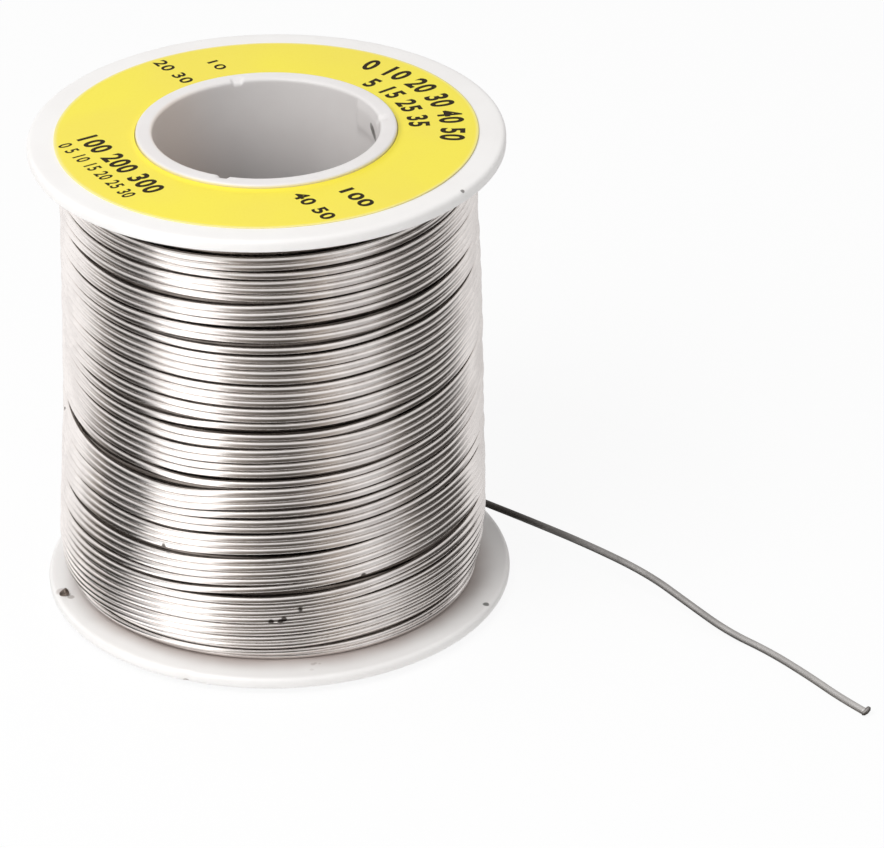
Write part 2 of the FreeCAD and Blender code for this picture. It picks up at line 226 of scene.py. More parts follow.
class Field:
    """A socket of a tree of nodes. Arithmetic on sockets that hold numbers adds the Math nodes that work
    it out, blend mixes colours, and near measures between places."""

    def __init__(self, tree, socket):
        self.tree, self.socket = tree, socket

    def node(self, kind, settings=None, output=0, **inputs):
        """Any node: its settings first, then a value or a field for each socket, by its name or, as _0, by
        its number. Gives one output."""
        made = self.tree.nodes.new(kind)
        for key, value in (settings or {}).items():
            if key == "stops":
                ramp = made.color_ramp
                while len(ramp.elements) < len(value):
                    ramp.elements.new(0.5)
                for element, (place, colour) in zip(ramp.elements, value):
                    element.position, element.color = place, (*colour, 1)
            else:
                setattr(made, key, value)
        for key, value in inputs.items():
            key = int(key[1:]) if key[0] == "_" else key.replace("_", " ")
            socket = made.inputs[key]
            if isinstance(value, Field):
                self.tree.links.new(value.socket, socket)
            else:
                socket.default_value = value
        return Field(self.tree, made.outputs[output])

    def maths(self, operation, *terms):
        """A Math node with fields or numbers for its terms."""
        inputs = {f"_{index}": term for index, term in enumerate(terms)}
        return self.node("ShaderNodeMath", {"operation": operation}, **inputs)

    def __add__(self, other): return self.maths("ADD", self, other)
    def __radd__(self, other): return self.maths("ADD", other, self)
    def __sub__(self, other): return self.maths("SUBTRACT", self, other)
    def __rsub__(self, other): return self.maths("SUBTRACT", other, self)
    def __mul__(self, other): return self.maths("MULTIPLY", self, other)
    def __rmul__(self, other): return self.maths("MULTIPLY", other, self)
    def __pow__(self, other): return self.maths("POWER", self, other)
    def __rpow__(self, other): return self.maths("POWER", other, self)
    def __abs__(self): return self.maths("ABSOLUTE", self)

    def ramp(self, low, high):
        """0 below low, 1 above high, and a smooth rise between."""
        return self.node("ShaderNodeMapRange", {"interpolation_type": "SMOOTHSTEP", "clamp": True},
                         Value=self, From_Min=low, From_Max=high)

    def ramp_mm(self, low, high):
        """The same for a length, with low and high in mm."""
        return self.ramp(low * MM, high * MM)

    def noise(self, scale, detail=2.0, rough=0.5):
        """Soft random spots from 0 to 1, about so many to each unit of these coordinates."""
        return self.node("ShaderNodeTexNoise", Vector=self, Scale=scale, Detail=detail, Roughness=rough)

    def stretched(self, *scale):
        """These coordinates times a number for each axis."""
        return self.node("ShaderNodeMapping", Vector=self, Scale=scale)

    def bump(self, strength, depth):
        """A normal bent by this height, where 1 is a depth in mm."""
        return self.node("ShaderNodeBump", Strength=strength, Distance=depth * MM, Height=self)

    def blend(self, first, second):
        """The first colour where this is 0 and the second where it is 1."""
        first, second = (x if isinstance(x, Field) else (*x, 1) for x in (first, second))
        return self.node("ShaderNodeMix", {"data_type": "RGBA"}, 2, _0=self, _6=first, _7=second)

    def part(self, axis):
        """One of a place's three numbers."""
        return self.node("ShaderNodeSeparateXYZ", output=axis, Vector=self)

    def near(self, place, reach):
        """1 within six tenths of a reach of a place, and 0 outside it. Both are given in mm."""
        away = self.node("ShaderNodeVectorMath", {"operation": "DISTANCE"}, "Value",
                         _0=self, _1=tuple(x * MM for x in place))
        return 1 - away.ramp_mm(reach * 0.6, reach)


def new_finish(name, fixed):
    """A material with one Principled shader. Fixed numbers go onto the shader's own sockets. Gives the
    material, the shader node, and a field with no socket of its own, from which other nodes start."""
    material = bpy.data.materials.new(name)
    material.use_nodes = True
    tree = material.node_tree
    shader = tree.nodes["Principled BSDF"]
    for key, value in fixed.items():
        shader.inputs[key].default_value = value
    return material, shader, Field(tree, None)


def join(shader, **fields):
    """Feed the shader's sockets that change over the surface."""
    for key, field in fields.items():
        field.tree.links.new(field.socket, shader.inputs[key.replace("_", " ")])


def bare_nodes(owner):
    """Empty the nodes of a material or a world, and give a field from which new ones start."""
    owner.use_nodes = True
    owner.node_tree.nodes.clear()
    return Field(owner.node_tree, None)


def show(surface, output):
    """Join a shader's field to the output of its tree."""
    out = surface.tree.nodes.new(output)
    surface.tree.links.new(surface.socket, out.inputs["Surface"])


def rays_that_see(start):
    """1 for a ray of the camera, of a reflection or of transmission, and 0 for light on its way to a
    surface."""
    camera, glossy, through = (start.node("ShaderNodeLightPath", output=f"Is {kind} Ray")
                               for kind in ("Camera", "Glossy", "Transmission"))
    return camera + glossy + through


# ---- finishes ----

# Marks on the plastic: place in mm, reach, strength and tint.
PLASTIC_MARKS = (
    # A speck on the lower flange, one on its rim, and one on the upper flange's rim.
    ((28.07, -13.86, 2.6), 0.55, 0.85, (0.07, 0.07, 0.06)),
    ((-13.1, -28.75, 0.95), 0.55, 0.65, (0.30, 0.26, 0.24)),
    ((25.42, -18.99, 68.4), 0.42, 0.80, (0.10, 0.09, 0.08)),
    # The tie hole, seen from below, as a spot of painted shade, and darker patches round and beside the
    # wire that comes out of it.
    ((-29.8, -6.8, 0.9), 0.55, 0.90, (0.06, 0.05, 0.04)),
    ((-30.0, -6.8, 2.6), 1.15, 0.50, (0.40, 0.33, 0.30)),
    ((-28.84, -8.36, 2.6), 0.60, 0.55, (0.30, 0.25, 0.22)),
    # The slit in the pad inside the bore, as four marks of painted shade in a row.
    ((14.05, 4.83, 66.55), 0.70, 0.72, (0.16, 0.15, 0.14)),
    ((14.20, 4.34, 66.25), 0.85, 0.80, (0.13, 0.12, 0.11)),
    ((14.34, 3.85, 65.95), 0.85, 0.80, (0.13, 0.12, 0.11)),
    ((14.47, 3.35, 65.65), 0.70, 0.72, (0.16, 0.15, 0.14)),
    # Grains of grime at the front of the lower flange.
    ((4.05, -28.26, 2.6), 0.40, 0.35, (0.34, 0.28, 0.25)),
    ((4.40, -28.05, 2.6), 0.28, 0.35, (0.34, 0.28, 0.25)),
    ((4.95, -28.20, 2.6), 0.25, 0.30, (0.34, 0.28, 0.25)),
    ((3.86, -29.70, 2.6), 0.35, 0.16, (0.40, 0.33, 0.30)),
)


def plastic_finish(name, bright, dull):
    """White moulded plastic: a hair of warm mottling, faint scuffs, a few grains of dirt, and a fine
    moulded grain. It also has painted shade in the bore, round the winding's foot, in the slit and at the
    tie hole, and a painted reflection of the label on the upper collar."""
    material, shader, start = new_finish(name, {"IOR": 1.46})
    place = start.node("ShaderNodeTexCoord", output="Object")
    x, y, z = place.part(0), place.part(1), place.part(2)
    radius = (x * x + y * y) ** 0.5
    colour = place.noise(90, 3).ramp(0.35, 0.65).blend(bright, dull)
    # Painted shade on the bore's wall: it is warmer on its left, and darker the deeper it lies: brown on
    # the left and grey from there on, with less of it on the right.
    wall = 1 - radius.ramp_mm(BORE_R, BORE_R + 0.6)
    colour = (wall * (1 - x.ramp_mm(-14.5, -6.0)) * 0.6).blend(colour, (1.0, 0.86, 0.75))
    depth = wall * (1 - z.ramp_mm(44, 67) * 0.87)
    deep = x.ramp_mm(-13.0, -2.0).blend((0.56, 0.44, 0.37), (0.23, 0.225, 0.225))
    colour = (depth * (0.84 - x.ramp_mm(4, 13) * 0.24)).blend(colour, deep)
    # A painted reflection of the label: the upper collar's side takes some of its yellow.
    collar_painted_reflection = radius.ramp_mm(COLLAR_R - 0.4, COLLAR_R - 0.1)
    collar_painted_reflection = collar_painted_reflection * (1 - radius.ramp_mm(COLLAR_R + 0.1, COLLAR_R + 0.3))
    collar_painted_reflection = collar_painted_reflection * z.ramp_mm(LABEL_LOW - 0.1, LABEL_LOW + 0.1)
    collar_painted_reflection = collar_painted_reflection * (1 - z.ramp_mm(OVERALL - 0.4, OVERALL - 0.1))
    colour = (collar_painted_reflection * 0.75).blend(colour, (0.92, 0.80, 0.35))
    # Painted shade on the lower flange, round the winding's foot.
    foot = 1 - (radius + place.noise(120, 2) * 0.0016).ramp_mm(27.2, 31.6)
    foot = foot * (1 - z.ramp_mm(3, 6))
    colour = (foot * 0.78).blend(colour, (0.36, 0.28, 0.25))
    dirt = place.noise(900, 2).ramp(0.74, 0.80) * place.noise(140, 1).ramp(0.5, 0.62)
    colour = (dirt * 0.35).blend(colour, (0.35, 0.30, 0.26))
    for spot, reach, amount, tint in PLASTIC_MARKS:
        colour = (place.near(spot, reach) * amount).blend(colour, tint)
    scuffs = place.stretched(1, 1, 6).noise(420, 4, 0.6)
    grain = place.noise(2600, 2) * 0.4 + scuffs * 0.6
    join(shader, Base_Color=colour, Roughness=scuffs.ramp(0.3, 0.75) * 0.16 + 0.30,
         Normal=grain.bump(0.12, 0.1))
    return material


def label_finish():
    """Yellow coated paper: fibres, a slow change of tone, a slightly worn and paler edge, and a painted
    shadow, a dark line along its edge on the right."""
    material, shader, start = new_finish("label_paper_finish", {"IOR": 1.45, "Specular IOR Level": 0.3})
    place = start.node("ShaderNodeTexCoord", output="Object")
    x, y = place.part(0), place.part(1)
    radius = (x * x + y * y) ** 0.5
    edge = (radius + place.noise(300, 3) * 0.0003).ramp_mm(LABEL_OUT_R - 0.45, LABEL_OUT_R + 0.2)
    # Painted shadow: a dark line along the label's edge on the right.
    right_edge_painted_shadow = radius.ramp_mm(LABEL_OUT_R - 0.18, LABEL_OUT_R - 0.04) * x.ramp_mm(12, 26)
    fibres = place.noise(3000, 3, 0.7)
    colour = place.noise(60, 2).ramp(0.35, 0.65).blend((0.965, 0.835, 0.062), (0.945, 0.800, 0.075))
    colour = (fibres.ramp(0.45, 0.8) * 0.10).blend(colour, (0.80, 0.62, 0.05))
    colour = (edge * 0.75).blend(colour, (0.94, 0.86, 0.42))
    colour = (right_edge_painted_shadow * 0.6).blend(colour, (0.42, 0.36, 0.16))
    join(shader, Base_Color=colour, Roughness=fibres * 0.15 + 0.34, Normal=fibres.bump(0.15, 0.05))
    return material


def ink_finish():
    """Dark print, a little uneven where the paper's fibres show through it."""
    material, shader, start = new_finish("label_ink_finish", {"IOR": 1.45, "Specular IOR Level": 0.06})
    fibres = start.node("ShaderNodeTexCoord", output="Object").noise(2200, 3, 0.7)
    colour = (fibres.ramp(0.55, 0.8) * 0.4).blend((0.026, 0.018, 0.008), (0.16, 0.115, 0.02))
    join(shader, Base_Color=colour, Roughness=fibres * 0.2 + 0.4)
    return material


# Grains of dirt caught between the turns: places in mm, and how far one reaches.
DIRT_SPOTS = (
    (2.6, -28.5, 11.3),
    (-1.4, -28.6, 9.55),
    (-0.15, -28.6, 9.55),
    (0.35, -28.6, 9.9),
    (11.2, -26.4, 15.0),
    (20.4, -18.4, 3.7),
    (-15.3, -24.4, 19.6),
    (-28.35, -3.73, 29.5),
)
DIRT_REACH = 0.5


def tin_finish(name, bright, dull, crease_painted_shade, rough, spool_end_painted_shade=0.0):
    """Drawn tin wire. The piece's UV map runs along the wire in steps of 10 mm and once round it, with its
    outer side at 0. Fine lines run along the wire and its tone changes slowly. Painted shade darkens the
    sides in the creases. On the free end, painted shade near the spool is dark as far as 17.5 mm along the
    wire and fades out by 35 mm. From there to the tip it turns pale grey, and the first 10 mm come bright
    out of the winding."""
    material, shader, start = new_finish(name, {"Metallic": 1.0, "IOR": 1.6})
    uv = start.node("ShaderNodeTexCoord", output="UV")
    place = start.node("ShaderNodeTexCoord", output="Object")
    lines = uv.stretched(1.6, 9, 1).noise(4, 4, 0.65)
    patches = place.noise(160, 3, 0.6)
    inwards = abs(abs(uv.part(1) - 0.5) - 0.5) * 2  # 0 on the outer side, 1 on the inner one
    colour = patches.ramp(0.38, 0.66).blend(bright, dull)
    colour = (lines.ramp(0.52, 0.72) * 0.30).blend(colour, [x * 0.6 for x in dull])
    # Painted shade: the wire's sides darken where they meet the neighbouring turns.
    colour = (inwards.ramp(0.52, 0.80) * crease_painted_shade).blend(colour, (0.10, 0.085, 0.07))
    if spool_end_painted_shade:
        # Painted shade on the free end near the spool, dark as far as 17.5 mm along the wire.
        along = uv.part(0)
        colour = ((1 - along.ramp(1.75, 3.5)) * spool_end_painted_shade).blend(colour, (0.055, 0.05, 0.045))
        colour = (along.ramp(3.5, 8.4) * 0.6).blend(colour, (0.68, 0.67, 0.66))
        colour = along.ramp(0.0, 1.05).blend((0.78, 0.755, 0.74), colour)
    for spot in DIRT_SPOTS:
        colour = (place.near(spot, DIRT_REACH) * 0.9).blend(colour, (0.05, 0.04, 0.03))
    join(shader, Base_Color=colour, Roughness=patches.ramp(0.3, 0.7) * 0.08 + lines * 0.10 + rough,
         Normal=lines.bump(0.10, 0.05))
    return material


def core_painted_shade_finish():
    """The wire deep between the turns, a dull surface painted near black as shade, seen only as darkness.
    """
    material, shader, start = new_finish("wire_core_painted_shade_finish", {"Metallic": 0.0, "IOR": 1.45})
    tone = start.node("ShaderNodeTexCoord", output="Object").noise(200, 2)
    colour = tone.blend((0.035, 0.028, 0.022), (0.05, 0.042, 0.035))
    join(shader, Base_Color=colour, Roughness=tone * 0.2 + 0.6)
    return material


# ---- camera ----

def make_camera():
    """The photograph's view: a long lens 0.78 m away, which looks down at 29 degrees."""
    data = bpy.data.cameras.new("camera")
    data.sensor_width = SENSOR_WIDE
    data.sensor_fit = "HORIZONTAL"
    data.lens = CAMERA_FOCAL / FRAME_WIDE * SENSOR_WIDE
    data.clip_start, data.clip_end = 0.01, 100.0
    camera = bpy.data.objects.new("camera", data)
    camera.location = [x * MM for x in CAMERA_PLACE]
    camera.rotation_euler = [math.radians(x) for x in CAMERA_TURN]
    bpy.context.scene.collection.objects.link(camera)
    bpy.context.scene.camera = camera


make_camera()

PLASTIC = plastic_finish("white_plastic_finish", (0.945, 0.930, 0.915), (0.925, 0.905, 0.89))
# The barrel's plastic is a darker copy of the white plastic: painted shade, as its bore gets less light.
SHADED_BARREL_PLASTIC = plastic_finish("barrel_plastic_painted_shade_finish", (0.86, 0.835, 0.825), (0.83, 0.80, 0.79))
PAPER = label_finish()
INK = ink_finish()
# The wire in the winding, the layer beneath it, painted darker as shade, the core under both, painted near
# black as shade, the free end, the burr on its tip, and the snipped first end.
WOUND_TIN = tin_finish("wound_tin_finish", (0.95, 0.925, 0.905), (0.86, 0.833, 0.815),
                       crease_painted_shade=0.06, rough=0.12)
SHADED_INNER_TIN = tin_finish("inner_tin_painted_shade_finish", (0.26, 0.235, 0.215), (0.18, 0.16, 0.145),
                       crease_painted_shade=0.80, rough=0.20)
SHADED_CORE_TIN = core_painted_shade_finish()
FREE_TIN = tin_finish("free_tin_finish", (0.43, 0.421, 0.411), (0.34, 0.332, 0.324),
                      crease_painted_shade=0.0, rough=0.58, spool_end_painted_shade=0.88)
TIP_TIN = tin_finish("tip_tin_finish", (0.27, 0.26, 0.252), (0.19, 0.183, 0.177),
                     crease_painted_shade=0.0, rough=0.42)
CUT_TIN = tin_finish("cut_tin_finish", (0.33, 0.275, 0.235), (0.20, 0.165, 0.14),
                     crease_painted_shade=0.0, rough=0.34)


# ---- the free end ----

def exit_frame():
    """Where the free end leaves the winding, the way that it goes, and the level direction to its right."""
    theta = math.radians(EXIT_THETA)
    place = np.array([OUTER_R * math.cos(theta), OUTER_R * math.sin(theta), EXIT_HEIGHT])
    along = np.array([math.sin(theta), -math.cos(theta), 0])
    return place, along, np.array([along[1], -along[0], 0])


def route_line():
    """The free end's centreline: a smooth quadratic spline with the route's corners as its control points,
    read back from a curve with no bevel."""
    place, along, right = exit_frame()
    corners = [place + along * WIRE]
    for ahead, aside, height in FREE_END_ROUTE:
        corners.append(np.array([place[0], place[1], height]) + along * ahead + right * aside)
    weighted = np.concatenate([np.array(corners) * MM, np.ones((len(corners), 1))], axis=1)
    curve = bpy.data.curves.new("free_end_route", "CURVE")
    curve.dimensions = "3D"
    spline = curve.splines.new("NURBS")
    spline.points.add(len(corners) - 1)
    spline.points.foreach_set("co", weighted.ravel())
    spline.order_u = 3
    spline.use_endpoint_u = True
    spline.resolution_u = 24
    points, _ = read_back(curve)
    return points / MM


# The burr: points across the tip, to its side and on past it, their heights, and the share of its width
# at each.
BURR_ASIDE = (-0.55, -0.35, 0.0, 0.35, 0.58)
BURR_PAST = (-0.15, -0.05, 0.12, 0.15, 0.10)
BURR_HEIGHTS = (0.36, 0.42, 0.62, 0.92, 1.12)
BURR_WIDE = WIRE * 0.72
BURR_SQUEEZE = (0.55, 0.9, 1.0, 1.0, 0.6)


def make_free_end():
    """The wire's free end: a tube along the route, and the small burr that the cutter left on its tip, a
    short tube that lies across it and rises to one side."""
    line = route_line()
    free_end = tube("wire_free_end_tube", line, WIRE, 16, slot="tin_wire", material=FREE_TIN)
    tip, way = line[-1], line[-1] - line[-4]
    way /= np.linalg.norm(way)
    side = np.cross(way, [0, 0, 1.0])
    side *= np.sign(side[0]) / np.linalg.norm(side)
    burr_line = tip + np.outer(BURR_ASIDE, side) + np.outer(BURR_PAST, way)
    burr_line[:, 2] = BURR_HEIGHTS
    burr = tube("wire_tip_burr", burr_line, BURR_WIDE, 12, squeeze=np.array(BURR_SQUEEZE),
                slot="tin_wire", material=TIP_TIN)
    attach(burr, "root")
    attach(free_end, "root")
    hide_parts("wire_free_end")
    tuple(line[0] * MM)
    (line * MM).tolist()


make_free_end()


# ---- the winding ----

# Open grooves between turns of the outer layer: height, azimuth of the middle, reach to each side, and
# width.
GROOVES = (
    (64.9, 0, 64, 1.45),
    (62.3, 42, 50, 0.38),
    (60.6, -10, 60, 0.10),
    (57.5, -42, 42, 0.50),
    (57.4, 0, 75, 0.16),
    (55.2, 20, 50, 0.14),
    (53.8, 38, 42, 0.52),
    (53.6, -30, 60, 0.20),
    (51.3, 0, 36, 0.40),
    (51.4, 0, 85, 0.20),
    (50.9, 66, 30, 0.50),
    (49.2, -14, 60, 0.28),
    (47.3, 30, 50, 0.12),
    (45.5, 0, 75, 0.30),
    (42.4, -8, 75, 0.26),
    (40.3, -45, 26, 0.50),
    (40.2, 20, 60, 0.12),
    (38.4, 0, 80, 0.26),
    (38.4, 0, 36, 0.42),
    (38.3, 50, 34, 0.45),
    (36.1, -36, 42, 0.30),
    (33.6, 30, 60, 0.16),
    (31.0, 0, 85, 0.24),
    (30.2, -56, 36, 0.95),
    (31.3, 0, 36, 0.32),
    (28.4, 50, 40, 0.20),
    (26.9, 16, 34, 0.26),
    (25.2, 12, 34, 0.32),
    (22.6, -30, 60, 0.14),
    (19.7, -25, 50, 0.44),
    (17.4, 40, 50, 0.14),
    (14.7, -36, 38, 0.34),
    (14.4, 32, 52, 0.85),
    (12.2, 52, 30, 0.34),
    (9.1, -40, 60, 0.14),
    (7.0, 30, 60, 0.16),
    (4.9, 46, 36, 0.42),
)
# How loosely the turns lie, by height.
LOOSE_HEIGHTS = (3, 12, 20, 32, 36, 46, 56, 60, 66)
LOOSENESS = (0.22, 0.28, 0.42, 0.36, 0.10, 0.06, 0.10, 0.22, 0.10)
# Radius of the middle of the outer layer's wire, by height, and how much further out it bulges on the
# left.
BULK_HEIGHTS = (2.6, 3.8, 6, 9, 13, 20, 29, 44, 58, 66.5)
BULK_RADII = (26.75, 27.0, 27.5, 27.95, 28.3, 28.2, 28.1, 28.05, 27.65, 27.35)
LEFT_BULGE = (0.8, 1.3, 1.85, 1.75, 1.2, 0.75, 0.3, -0.2, -0.1, 0.0)
# How far the turns lean, by height: up on the right and down on the left.
LEAN_HEIGHTS = (2.8, 5.5, 13, 20, 31, 36, 42, 50, 57, 62, 66.5)
LEANS = (0, 0.2, 0.55, 0.5, 0.6, 0.1, -0.1, -0.3, -0.2, 0.1, 0)
# Waves of the outer layer's radius: size, knots a turn and seed.
WAVES = ((0.075, 7.3, 11), (0.040, 17.0, 12), (0.05, 1.3, 13))

MAIN_TURNS = 52
STEPS_A_TURN = 132
EXIT_AZIMUTH = EXIT_THETA + 90
BEHIND = 180
SETTLING_ROUNDS = 8
FADE_TURNS = 1.2
WOUND_SIDES = 14
INNER_SIDES = 8


def on_spool(azimuth, radius, height):
    """Points at azimuths, radii and heights: (r sin a, -r cos a, z)."""
    a = np.radians(azimuth)
    return np.stack([radius * np.sin(a), -radius * np.cos(a), height], axis=-1)


def smooth(values, reach):
    """A running mean of a line of values, weighted by a bell that reaches so many values to each side."""
    bell = np.hanning(2 * reach + 3)[1:-1]
    return np.convolve(np.pad(values, reach, mode="edge"), bell / bell.sum(), mode="valid")


def eased(share):
    """A smooth step from 0 to 1: 3 s^2 - 2 s^3."""
    return share * share * (3 - 2 * share)


def rise(values, low, high):
    """0 up to low, 1 from high on, and a straight line between."""
    return np.clip((values - low) / (high - low), 0, 1)


def wander(turn, knots_a_turn, seed):
    """A smooth random line from -1 to 1 along the turns: random numbers at even knots, joined by smooth
    steps."""
    rng = np.random.default_rng(seed)
    at = turn * knots_a_turn
    knots = rng.uniform(-1, 1, int(at[-1]) + 3)
    low = at.astype(int)
    share = eased(at - low)
    return knots[low] * (1 - share) + knots[low + 1] * share


def bulk_radius(height, azimuth):
    """The radius of the middle of the outer wire: it swells towards the middle of the height, and low on
    the left, by the azimuth's sine to the power 1.6."""
    left = np.clip(-np.sin(np.radians(azimuth)), 0, 1) ** 1.6
    return (np.interp(height, BULK_HEIGHTS, BULK_RADII)
            + left * np.interp(height, BULK_HEIGHTS, LEFT_BULGE))


def added_up(gap, turns):
    """For each point of a layer, the gaps above it at its own azimuth, and the sum of all of them there."""
    steps = STEPS_A_TURN
    rows = np.concatenate([gap[:1] * np.arange(steps) / steps, gap[:turns * steps]])
    rows = rows.reshape(turns + 1, steps)
    whole = rows.sum(0)
    return np.cumsum(rows, axis=0).ravel()[:len(gap)], np.append(np.tile(whole, turns), whole[0])


def layer_heights(turns, top, bottom, gaps_of):
    """Heights along an unbroken layer. With t in turns the height is top - t d - O(t) - F G(t) / G_end. O
    adds up the open grooves above the point and G the slight gaps, one of each for every turn at its
    azimuth, and F is the height that the turns and the grooves leave free. The gaps depend on the heights,
    so the sum is done again until it settles."""
    turn = np.arange(turns * STEPS_A_TURN + 1) / STEPS_A_TURN
    height = top - turn * (top - bottom) / turns
    for _ in range(SETTLING_ROUNDS):
        slight, groove = gaps_of(turn, height)
        slight_above, slight_sum = added_up(slight, turns)
        groove_above, groove_sum = added_up(groove, turns)
        free = top - bottom - turns * WIRE - groove_sum
        height = top - turn * WIRE - groove_above - free * slight_above / slight_sum
    return turn, height, groove


def outer_gaps(turn, height):
    """The gaps under each point of the outer layer. The slight one is the looseness at its height times
    exp(2.4 w), where w wanders from -1 to 1. Each open groove lies under the turn that comes nearest to
    its height within 2 degrees of its middle, and its width falls off as exp(-x^4)."""
    azimuth = EXIT_AZIMUTH + 360 * (MAIN_TURNS - turn)
    around = (azimuth + 180) % 360 - 180
    loose = np.interp(height, LOOSE_HEIGHTS, LOOSENESS) + 0.02
    slight = loose * np.exp(2.4 * wander(turn, 2.6, 5))
    groove = np.zeros_like(slight)
    number = np.floor(turn - (EXIT_AZIMUTH - BEHIND) / 360).astype(int)  # counts passes behind the spool
    for middle_height, middle, reach, width in GROOVES:
        here = np.abs(around - middle) < 2
        under = height - WIRE / 2 - width / 2
        nearest = number[np.where(here, np.abs(under - middle_height), 1e9).argmin()]
        away = (around - middle) / reach
        groove = groove + np.where(number == nearest, width * np.exp(-away ** 4), 0)
    return slight, groove


def make_outer_layer():
    """The outer layer as one unbroken wire, a tube along (azimuth, radius, height). The azimuth runs down
    evenly. To the layer's height comes a lean of L(z) sin a, times 1.5 cos a + 0.5 kept within 0 and 1, and
    a wander of 0.03 mm. The radius is the bulk's, with waves of a few hundredths of a millimetre, and sinks
    by a tenth of the groove beneath it. Over 1.2 turns at each end all this fades to a plain circle. The
    last point lies a little way into the free end."""
    top = HIGH_SEAT - WIRE / 2 - 0.02
    turn, height, gap = layer_heights(MAIN_TURNS, top, EXIT_HEIGHT, outer_gaps)
    azimuth = EXIT_AZIMUTH + 360 * (MAIN_TURNS - turn)
    a = np.radians(azimuth)
    fade = eased(rise(MAIN_TURNS - turn, 0, FADE_TURNS) * rise(turn, 0, FADE_TURNS))
    lean = smooth(np.interp(height, LEAN_HEIGHTS, LEANS), STEPS_A_TURN)
    height = height + lean * np.sin(a) * np.clip(np.cos(a) * 1.5 + 0.5, 0, 1) * fade
    settle = smooth(np.clip(gap, 0, 0.7), 12)
    waves = sum(size * wander(turn, knots, seed) for size, knots, seed in WAVES)
    radius = bulk_radius(height, azimuth) + waves - 0.10 * settle
    radius = OUTER_R + (radius - OUTER_R) * fade
    height = height + 0.03 * wander(turn, 5.0, 14) * fade
    line = on_spool(azimuth, radius, height)
    place, along, _ = exit_frame()
    line = np.concatenate([line[:-1], [place, place + along * WIRE * 1.05]])
    layer = tube("wire_outer_turns", line, WIRE, WOUND_SIDES, slot="tin_wire", material=WOUND_TIN)
    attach(layer, "root")
    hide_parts("wire_outer_layer")


def make_lowest_turns():
    """The turns of the layer beneath, which fill the space under the last turn. They go round 2.25 times
    from behind on the right, and come down by a wire's width onto the flange between turns 0.3 and 1.2.
    Their radius is the bulk's, less 0.9 mm at the ends, which tuck in behind, 0.45 mm for the lowest turn,
    and 0.2 exp(-x^4) on the right, where the grooves are open."""
    turn = np.arange(int(2.25 * STEPS_A_TURN) + 1) / STEPS_A_TURN
    azimuth = 150 - 360 * turn
    foot = LOW_SEAT + WIRE / 2 + 0.01
    height = foot + 0.98 * (1 - rise(turn, 0.3, 1.2))
    tuck = 1 - rise(turn, 0, 0.08) + rise(turn, 2.15, 2.25)
    radius = bulk_radius(height, azimuth) - 0.9 * tuck - 0.45 * rise(turn, 1.2, 1.5)
    radius = radius - 0.2 * np.exp(-((azimuth - 42) / 42) ** 4)
    radius = radius + 0.04 * wander(turn, 7.0, 21)
    lowest = tube("wire_lowest_turns", on_spool(azimuth, radius, height), WIRE, WOUND_SIDES,
                  slot="tin_wire", material=WOUND_TIN)
    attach(lowest, "root")


def inner_gaps(turn, height):
    """The gaps of the layer beneath: slight ones alone."""
    return 1.1 + wander(turn, 4.0, 31), 0.0 * turn


def make_inner_layer():
    """The layer beneath, which shows in the grooves, wound like the outer one and 0.93 mm further in, round
    a turned core. Both are painted dark as shade."""
    low, high = LOW_SEAT, HIGH_SEAT
    turns = int((high - low - WIRE) / (WIRE * 1.02))
    top, bottom = high - WIRE / 2 - 0.03, low + WIRE / 2 + 0.03
    turn, height, _ = layer_heights(turns, top, bottom, inner_gaps)
    azimuth = 360 * (turns - turn)
    radius = bulk_radius(height, azimuth) - 0.93 + 0.05 * wander(turn, 3.0, 32)
    layer = tube("wire_inner_turns", on_spool(azimuth, radius, height), WIRE, INNER_SIDES,
                 slot="tin_wire", material=SHADED_INNER_TIN)
    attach(layer, "root")
    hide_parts("wire_inner_layers")
    profile = rounded([(SHOULDER_R, low + 0.05, 0.1), (25.2, low + 0.05, 0.3), (25.9, 12, 2),
                       (25.9, high - 8, 2), (25.4, high - 0.05, 0.3), (SHOULDER_R, high - 0.05, 0.1)], 4)
    core = turned_piece("wire_core", profile, 96, slot="tin_wire", material=SHADED_CORE_TIN)
    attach(core, "root")


# The wire's first end: where its line starts in the tie hole, and how it goes on from there.
FIRST_END_THETA = 192
FIRST_END_R = 30.3
FIRST_END_SHARES = (0, 0.2, 0.55, 1)
FIRST_END_X = (0, 0, -0.3, 0.55)
FIRST_END_Y = (0, 0, -0.85, -1.05)
FIRST_END_Z = (0, 0.7, 1.6, 2.2)


def make_first_end():
    """The wire's first end: it comes up through its hole in the lower flange and is bent over and snipped.
    Its line joins four points, smoothed, and its tip is flattened."""
    theta = math.radians(FIRST_END_THETA)
    foot = np.array([FIRST_END_R * math.cos(theta) - 0.15, FIRST_END_R * math.sin(theta) - 0.5, 1.1])
    share = np.linspace(0, 1, 15)
    line = foot + np.stack([np.interp(share, FIRST_END_SHARES, moves)
                            for moves in (FIRST_END_X, FIRST_END_Y, FIRST_END_Z)], axis=1)
    line = np.stack([smooth(column, 3) for column in line.T], axis=1)
    squeeze = np.interp(share, (0, 0.85, 0.94, 1), (1, 1, 1.12, 0.7))
    stub = tube("wire_first_end_stub", line, WIRE, 14, squeeze=squeeze, slot="tin_wire", material=CUT_TIN)
    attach(stub, "root")
    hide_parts("wire_first_end")


make_outer_layer()
make_lowest_turns()
make_inner_layer()
make_first_end()


# ---- the spool ----

# The nick in the lower flange's rim: its theta, half its width in degrees, and its depth.
NICK_THETA, NICK_WIDE, NICK_DEEP = 246, 1.1, 0.3
# The notches in the barrel's upper lip: their thetas, depth and half width.
NOTCH_THETAS, NOTCH_DEEP, NOTCH_WIDE = (8, 104, 248), 0.4, 0.8
# The pad inside the bore: its theta, half width, lowest and highest height, and how far it stands out.
PAD_THETA, PAD_WIDE, PAD_LOW, PAD_HIGH, PAD_THICK = 22, 3.9, 63.9, 68.4, 0.25
# Where the label's inner edge rides up the barrel's end: from this radius inwards, over this width, by
# this height.
RIDE_R, RIDE_WIDE, RIDE_HEIGHT = 18.3, 0.7, 0.3


